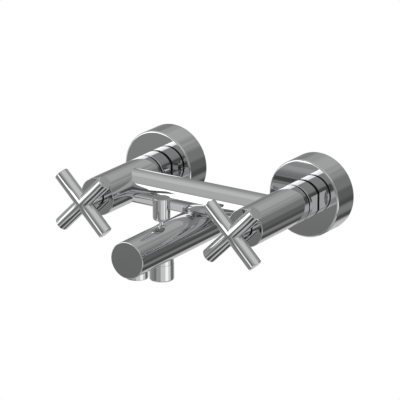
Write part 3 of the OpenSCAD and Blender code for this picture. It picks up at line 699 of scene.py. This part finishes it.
def build_outlets():
    """The threaded hose outlet and the aerator's collar, coped to the spout's underside."""
    neck_r = hose_r - HOSE_NECK_STEP
    thread_top = spout_z - spout_r - HOSE_NECK_L
    pocket_top = hose_end + HOSE_POCKET_L
    finish(turned("hose_outlet_nipple", [
        (neck_r, under_spout), (neck_r, thread_top), (hose_r, thread_top, 0.1),
        (hose_r, hose_end, 1.1), (HOSE_POCKET_R, hose_end, 0.3), (HOSE_POCKET_R, pocket_top),
        (HOSE_BORE_R, pocket_top), (HOSE_BORE_R, under_spout)], upright(diverter_out)), "hose_outlet")
    inner = aerator_r - AERATOR_WALL
    finish(turned("aerator_ring", [
        (aerator_r, under_spout), (aerator_r, aerator_end, 0.5), (inner, aerator_end, 0.2),
        (inner, under_spout)], upright(aerator_out)), "aerator_collar")


build_diverter()
build_outlets()


# Cross handles, by geometry nodes

WELD = 2e-6                    # metres
AT_FOOT = 1e-5                 # points of a tube under this height, in metres, are its foot


def geometry_tree(name, sizes):
    """A geometry node tree with named inputs, given as name: (socket kind, default)."""
    tree = bpy.data.node_groups.new(name, "GeometryNodeTree")
    tree.interface.new_socket(name="Geometry", in_out="OUTPUT", socket_type="NodeSocketGeometry")
    for key, (kind, value) in sizes.items():
        socket = tree.interface.new_socket(name=key, in_out="INPUT", socket_type=kind)
        if value is not None:
            socket.default_value = value
    return tree, tree.nodes.new("NodeGroupInput"), tree.nodes.new("NodeGroupOutput")


def vector_of(tree, x=0.0, y=0.0, z=0.0):
    """A vector from sockets or numbers."""
    node = tree.nodes.new("ShaderNodeCombineXYZ")
    for socket, value in zip(node.inputs, (x, y, z)):
        plug(tree, value, socket)
    return node.outputs[0]


def lifted(tree, geometry, height):
    """The geometry moved up."""
    node = tree.nodes.new("GeometryNodeTransform")
    tree.links.new(geometry, node.inputs["Geometry"])
    tree.links.new(vector_of(tree, z=height), node.inputs["Translation"])
    return node.outputs["Geometry"]


def rotated(tree, geometry, *degrees):
    """The geometry turned about each axis."""
    node = tree.nodes.new("GeometryNodeTransform")
    tree.links.new(geometry, node.inputs["Geometry"])
    node.inputs["Rotation"].default_value = [math.radians(d) for d in degrees]
    return node.outputs["Geometry"]


def joined(tree, *geometries):
    """Several geometries as one."""
    node = tree.nodes.new("GeometryNodeJoinGeometry")
    for geometry in geometries:
        tree.links.new(geometry, node.inputs["Geometry"])
    return node.outputs["Geometry"]


def open_tube(tree, around, radius, length):
    """A tube along +Z without end caps, standing on the ground plane."""
    tube = tree.nodes.new("GeometryNodeMeshCylinder")
    tube.fill_type = "NONE"
    plug(tree, around, tube.inputs["Vertices"])
    plug(tree, radius, tube.inputs["Radius"])
    plug(tree, length, tube.inputs["Depth"])
    return lifted(tree, tube.outputs["Mesh"], maths(tree, "MULTIPLY", length, 0.5))


def coped_foot(tree, geometry, height):
    """Moves the foot of a tube to heights of its own, from the points' X and Y."""
    place = tree.nodes.new("GeometryNodeInputPosition")
    parts = tree.nodes.new("ShaderNodeSeparateXYZ")
    tree.links.new(place.outputs[0], parts.inputs[0])
    x, y, z = parts.outputs
    low = tree.nodes.new("FunctionNodeCompare")
    low.data_type = "FLOAT"
    low.operation = "LESS_THAN"
    tree.links.new(z, low.inputs["A"])
    plug(tree, AT_FOOT, low.inputs["B"])
    move = tree.nodes.new("GeometryNodeSetPosition")
    tree.links.new(geometry, move.inputs["Geometry"])
    tree.links.new(low.outputs["Result"], move.inputs["Selection"])
    tree.links.new(vector_of(tree, x, y, height(x, y)), move.inputs["Position"])
    return move.outputs["Geometry"]


def chamfered_tip(tree, around, radius, chamfer):
    """The end of a rod: its chamfer and its face, without the face underneath."""
    tip = tree.nodes.new("GeometryNodeMeshCone")
    tip.fill_type = "NGON"
    plug(tree, around, tip.inputs["Vertices"])
    plug(tree, maths(tree, "SUBTRACT", radius, chamfer), tip.inputs["Radius Top"])
    plug(tree, radius, tip.inputs["Radius Bottom"])
    plug(tree, chamfer, tip.inputs["Depth"])
    cut = tree.nodes.new("GeometryNodeDeleteGeometry")
    cut.domain = "FACE"
    tree.links.new(tip.outputs["Mesh"], cut.inputs["Geometry"])
    tree.links.new(tip.outputs["Bottom"], cut.inputs["Selection"])
    return cut.outputs["Geometry"]


def make_cross_tree():
    """Round arms that meet in mitres on one round neck. The neck leaves along -Z."""
    tree, source, sink = geometry_tree("cross handle", {
        "Arms": ("NodeSocketInt", 4), "Around": ("NodeSocketInt", AROUND),
        "Rod radius": ("NodeSocketFloat", ROD_R * MM),
        "Arm length": ("NodeSocketFloat", ROD_LENGTH / 2 * MM),
        "End chamfer": ("NodeSocketFloat", ROD_CHAMFER * MM),
        "Neck length": ("NodeSocketFloat", 0.024), "Finish": ("NodeSocketMaterial", None)})
    size = source.outputs

    def mitre(x, y):
        """X lies across the arm in the handle's plane, and -Y is the side that the neck is on."""
        towards_neck = maths(tree, "MAXIMUM", maths(tree, "MULTIPLY", y, -1.0), 0.0)
        return maths(tree, "MAXIMUM", maths(tree, "ABSOLUTE", x), towards_neck)

    def on_arms(x, y):
        """The neck's foot lies on four arms that leave along the diagonals of X and Y."""
        both = maths(tree, "ADD", maths(tree, "ABSOLUTE", x), maths(tree, "ABSOLUTE", y))
        return maths(tree, "MULTIPLY", both, math.sqrt(0.5))

    straight = maths(tree, "SUBTRACT", size["Arm length"], size["End chamfer"])
    arm = coped_foot(tree, open_tube(tree, size["Around"], size["Rod radius"], straight), mitre)
    tip = chamfered_tip(tree, size["Around"], size["Rod radius"], size["End chamfer"])
    # The arm is laid down along +X, with the neck's side towards -Z.
    arm = rotated(tree, joined(tree, arm, lifted(tree, tip, straight)), 90, 0, 90)
    places = tree.nodes.new("GeometryNodePoints")
    plug(tree, size["Arms"], places.inputs["Count"])
    index = tree.nodes.new("GeometryNodeInputIndex")
    turn = maths(tree, "DIVIDE", 2 * math.pi, size["Arms"])
    angle = maths(tree, "MULTIPLY", maths(tree, "ADD", index.outputs[0], 0.5), turn)
    copies = tree.nodes.new("GeometryNodeInstanceOnPoints")
    tree.links.new(places.outputs[0], copies.inputs["Points"])
    tree.links.new(arm, copies.inputs["Instance"])
    tree.links.new(vector_of(tree, z=angle), copies.inputs["Rotation"])
    # The neck is drawn upwards and turned over, so its foot is the end at the arms.
    neck = coped_foot(tree, open_tube(tree, size["Around"], size["Rod radius"], size["Neck length"]),
                      on_arms)
    neck = rotated(tree, neck, 180, 0, 0)
    real = tree.nodes.new("GeometryNodeRealizeInstances")
    tree.links.new(joined(tree, copies.outputs["Instances"], neck), real.inputs["Geometry"])
    weld = tree.nodes.new("GeometryNodeMergeByDistance")
    weld.inputs["Distance"].default_value = WELD
    tree.links.new(real.outputs["Geometry"], weld.inputs["Geometry"])
    coat = tree.nodes.new("GeometryNodeSetMaterial")
    tree.links.new(weld.outputs["Geometry"], coat.inputs["Geometry"])
    tree.links.new(size["Finish"], coat.inputs["Material"])
    tree.links.new(coat.outputs["Geometry"], sink.inputs["Geometry"])
    return tree


def grown(name, tree, values, place):
    """The plain mesh that a geometry node tree gives for these sizes, put in place."""
    seed = bpy.data.objects.new(name + "_seed", bpy.data.meshes.new(name + "_seed"))
    scene.collection.objects.link(seed)
    modifier = seed.modifiers.new(name, "NODES")
    modifier.node_group = tree
    for item in tree.interface.items_tree:
        if item.in_out == "INPUT" and item.name in values:
            modifier[item.identifier] = values[item.name]
    ready = seed.evaluated_get(bpy.context.evaluated_depsgraph_get())
    mesh = bpy.data.meshes.new_from_object(ready)
    mesh.name = name
    mesh.transform(place)
    bpy.data.objects.remove(seed)
    return placed(name, mesh)


CROSS = make_cross_tree()
neck_length = HANDLE_OUT - (barrel_front - NECK_SUNK)
for side_name, direction in SIDES.items():
    handle = grown(f"{side_name}_cross_handle", CROSS, {
        "Rod radius": ROD_R * MM, "Arm length": ROD_LENGTH / 2 * MM,
        "End chamfer": ROD_CHAMFER * MM, "Neck length": neck_length * MM, "Finish": CHROME},
        Matrix.Translation((direction * inlet_x * MM, -HANDLE_OUT * MM, 0))
        @ Matrix.Rotation(math.radians(90), 4, "X"))
    finish(handle, f"{side_name}_handle")


# Studio, in metres

# A sheet of pale paper on the floor: its corners, its colour, and the glow that makes it white to the
# camera and a little lighter in the metal
FLOOR_Z = -1.0
PAPER = ((-0.74, -0.82), (-0.125, -0.58), (0.10, 1.75), (-0.74, 1.75))
PAPER_COLOUR = (0.72, 0.715, 0.73, 1)
PAPER_GLOW = 0.5
PAPER_GLOW_IN_METAL = 0.1

# Name, place, width of the square, watts
LAMPS = (("ceiling lamp", (-0.3, -0.6, 1.8), 2.5, 17.0), ("front lamp", (-0.9, -2.0, 0.4), 2.0, 12.0))
LAMP_AIM = (0, -0.08, 0)

# What stands round the tap, as soft-edged panels, each laid over the ones before it. The angles are
# in degrees: azimuth from the front towards the right, elevation, half width, half height, softness
# and tilt. The brightness comes last.
BASE_BRIGHTNESS = 0.48
SURROUNDINGS = (
    ("ceiling", 0, 90, 400, 52, 12, 0, 0.63),
    ("dark ground", 0, -90, 400, 52, 12, 0, 0.18),
    ("right floor", 65, -62, 50, 20, 8, 0, 0.73),
    ("rear ground", 150, -70, 36, 12, 8, 0, 0.09),
    ("rear wall", 180, 27, 40, 14, 12, 0, 0.46),
    ("rear left high", -172, 36, 16, 6, 8, 0, 0.56),
    ("rear right high", 152, 35, 14, 8, 8, 0, 0.39),
    ("rear right", 145, 10, 12, 14, 10, 0, 0.27),
    ("rear right band", 140, -8, 11, 12, 6, 0, 0.165),
    ("rear right gap", 148.5, -20, 7.5, 5.5, 6, -30, 0.105),
    ("rear right low", 154.3, -28.5, 7.3, 5, 6, -40, 0.29),
    ("rear foot", 167, -36, 10, 5, 6, 0, 0.095),
    ("rear left low", -150, -10, 4, 15, 8, 0, 0.13),
    ("rear left", -142, 8, 6, 14, 6, 0, 0.29),
    ("rear streak", 160, 32, 20, 1.5, 3, 0, 0.50),
    ("right high", 70, 50, 52, 14, 16, 0, 0.83),
    ("left high", -110, 57, 26, 7, 10, 0, 0.77),
    ("front high", -5, 37, 22, 6, 8, 0, 0.53),
    ("front left high", -42, 37, 16, 5, 6, 0, 0.62),
    ("dark post", 38, 8, 12, 15, 8, 0, 0.155),
    ("right side", 60, -18, 36, 14, 12, 0, 0.88),
    ("right lamp", 84, -20, 16, 8, 8, 0, 1.45),
    ("right far", 112, -18, 9, 9, 6, 0, 0.95),
    ("front low light", 10, -34, 22, 5, 5, 0, 0.53),
    ("front strip", -29, -38.5, 23, 5, 5, 23, 0.80),
    ("front dark", -3, -53, 14, 6, 5, -45, 0.08),
    ("grey band", -48, -23, 32, 10, 5, 8, 0.34),
    ("grey band foot", -27, -22.2, 13, 3.8, 3, 0, 0.22),
    ("front sill", -16, -26, 8.5, 5.5, 4, 0, 0.72),
    ("white panel", -40.5, 10.2, 28.3, 16.8, 4, -22, 2.3),
    ("white left foot", -60.5, -9.5, 11.5, 7.5, 4, 0, 1.8),
    ("white corner", -27, 22, 8, 6, 4, -8, 2.0),
    ("white foot", -17, -8.5, 5.5, 7, 4, 0, 1.4),
    ("front gap", -7.5, 9, 15.5, 9, 5, 0, 0.23),
    ("front post", -1.5, -7, 6.5, 8, 4, 0, 0.28),
)
PANEL_SIZES = ("At azimuth", "At elevation", "Half width", "Half height", "Softness", "Tilt")


def make_panel_group():
    """One soft-edged panel laid over what is behind it, by azimuth and elevation."""
    tree, source, sink = shader_group(
        "soft panel",
        {"Azimuth": 0.0, "Elevation": 0.0, "Behind": 0.0, "At azimuth": 0.0, "At elevation": 0.0,
         "Half width": 30.0, "Half height": 20.0, "Softness": 5.0, "Tilt": 0.0, "Brightness": 1.0},
        ("Brightness",))
    given = source.outputs
    across = maths(tree, "WRAP", maths(tree, "SUBTRACT", given["Azimuth"], given["At azimuth"]),
                   180.0, -180.0)
    upward = maths(tree, "SUBTRACT", given["Elevation"], given["At elevation"])
    tilt = maths(tree, "RADIANS", given["Tilt"])
    cosine, sine = maths(tree, "COSINE", tilt), maths(tree, "SINE", tilt)
    along = maths(tree, "ADD", maths(tree, "MULTIPLY", across, cosine),
                  maths(tree, "MULTIPLY", upward, sine))
    over = maths(tree, "SUBTRACT", maths(tree, "MULTIPLY", upward, cosine),
                 maths(tree, "MULTIPLY", across, sine))
    half_soft = maths(tree, "MULTIPLY", given["Softness"], 0.5)
    masks = []
    for place, half in ((along, "Half width"), (over, "Half height")):
        edge = tree.nodes.new("ShaderNodeMapRange")
        edge.interpolation_type = "SMOOTHSTEP"
        tree.links.new(maths(tree, "ABSOLUTE", place), edge.inputs["Value"])
        tree.links.new(maths(tree, "ADD", given[half], half_soft), edge.inputs["From Min"])
        tree.links.new(maths(tree, "SUBTRACT", given[half], half_soft), edge.inputs["From Max"])
        masks.append(edge.outputs[0])
    mask = maths(tree, "MULTIPLY", *masks)
    seen = maths(tree, "MULTIPLY", mask, maths(tree, "SUBTRACT", given["Brightness"], given["Behind"]))
    tree.links.new(maths(tree, "ADD", given["Behind"], seen), sink.inputs["Brightness"])
    return tree


def build_world():
    """Soft panels that only the object sees, behind a white background for the camera."""
    panel_group = make_panel_group()
    world = bpy.data.worlds.new("studio")
    scene.world = world
    world.use_nodes = True
    tree = world.node_tree
    shader = tree.nodes["Background"]
    where = tree.nodes.new("ShaderNodeTexCoord")
    parts = tree.nodes.new("ShaderNodeSeparateXYZ")
    tree.links.new(where.outputs["Generated"], parts.inputs[0])
    front = maths(tree, "MULTIPLY", parts.outputs["Y"], -1.0)
    azimuth = maths(tree, "DEGREES", maths(tree, "ARCTAN2", parts.outputs["X"], front))
    elevation = maths(tree, "DEGREES", maths(tree, "ARCSINE", parts.outputs["Z"]))
    brightness = BASE_BRIGHTNESS
    for name, *sizes, level in SURROUNDINGS:
        panel = tree.nodes.new("ShaderNodeGroup")
        panel.node_tree = panel_group
        panel.label = name
        tree.links.new(azimuth, panel.inputs["Azimuth"])
        tree.links.new(elevation, panel.inputs["Elevation"])
        plug(tree, brightness, panel.inputs["Behind"])
        for key, value in zip(PANEL_SIZES, sizes):
            panel.inputs[key].default_value = value
        panel.inputs["Brightness"].default_value = level
        brightness = panel.outputs["Brightness"]
    path = tree.nodes.new("ShaderNodeLightPath")
    shown = tree.nodes.new("ShaderNodeMix")
    shown.data_type = "RGBA"
    tree.links.new(path.outputs["Is Camera Ray"], shown.inputs["Factor"])
    tree.links.new(brightness, shown.inputs["A"])
    shown.inputs["B"].default_value = (1, 1, 1, 1)
    tree.links.new(shown.outputs["Result"], shader.inputs["Color"])
    shader.inputs["Strength"].default_value = 1.0


def build_floor():
    """A sheet of pale paper on the floor under the tap."""
    mesh = bpy.data.meshes.new("floor")
    mesh.from_pydata([(x, y, FLOOR_Z) for x, y in PAPER], [], [(0, 1, 2, 3)])
    floor = bpy.data.objects.new("floor", mesh)
    scene.collection.objects.link(floor)
    paper = bpy.data.materials.new("pale paper")
    paper.use_nodes = True
    tree = paper.node_tree
    shader = tree.nodes["Principled BSDF"]
    shader.inputs["Base Color"].default_value = PAPER_COLOUR
    shader.inputs["Roughness"].default_value = 1.0
    shader.inputs["Emission Color"].default_value = (1, 1, 1, 1)
    path = tree.nodes.new("ShaderNodeLightPath")
    seen = maths(tree, "ADD", path.outputs["Is Camera Ray"], path.outputs["Is Transmission Ray"])
    white = maths(tree, "MULTIPLY", seen, PAPER_GLOW)
    metal = maths(tree, "MULTIPLY", path.outputs["Is Glossy Ray"], PAPER_GLOW_IN_METAL)
    tree.links.new(maths(tree, "ADD", white, metal), shader.inputs["Emission Strength"])
    mesh.materials.append(paper)


def build_lamps():
    """Two large soft lamps for the parts that aren't polished. Metal doesn't mirror them."""
    for name, place, size, power in LAMPS:
        light = bpy.data.lights.new(name, "AREA")
        light.shape = "SQUARE"
        light.size = size
        light.energy = power
        lamp = bpy.data.objects.new(name, light)
        scene.collection.objects.link(lamp)
        lamp.location = place
        lamp.rotation_mode = "QUATERNION"
        lamp.rotation_quaternion = (Vector(LAMP_AIM) - lamp.location).to_track_quat("-Z", "Y")
        lamp.visible_camera = lamp.visible_glossy = lamp.visible_transmission = False


build_world()
build_floor()
build_lamps()


# Camera

CAMERA_AZIMUTH = 33.311        # degrees from the front towards the right
CAMERA_ELEVATION = 18.442
CAMERA_DISTANCE = 2677.05      # millimetres
CAMERA_LEFT, CAMERA_DOWN = 12.26, 7.75     # millimetres that the aim is off the middle
FOCAL_LENGTH = 280.6
SENSOR_WIDTH = 36.0


def build_camera():
    """The photograph's viewpoint."""
    azimuth, elevation = math.radians(CAMERA_AZIMUTH), math.radians(CAMERA_ELEVATION)
    right = Vector((math.cos(azimuth), math.sin(azimuth), 0))
    back = Vector((math.sin(azimuth) * math.cos(elevation), -math.cos(azimuth) * math.cos(elevation),
                   math.sin(elevation)))
    up = back.cross(right)
    target = Vector((0, -50, 0)) - right * CAMERA_LEFT - up * CAMERA_DOWN
    lens = bpy.data.cameras.new("camera")
    lens.lens = FOCAL_LENGTH
    lens.sensor_width = SENSOR_WIDTH
    camera = bpy.data.objects.new("camera", lens)
    scene.collection.objects.link(camera)
    camera.location = (target + back * CAMERA_DISTANCE) * MM
    camera.rotation_mode = "QUATERNION"
    camera.rotation_quaternion = (-back).to_track_quat("-Z", "Y")
    lens.clip_start, lens.clip_end = 0.1, 50.0
    scene.camera = camera


build_camera()
scene.view_settings.view_transform = "Standard"
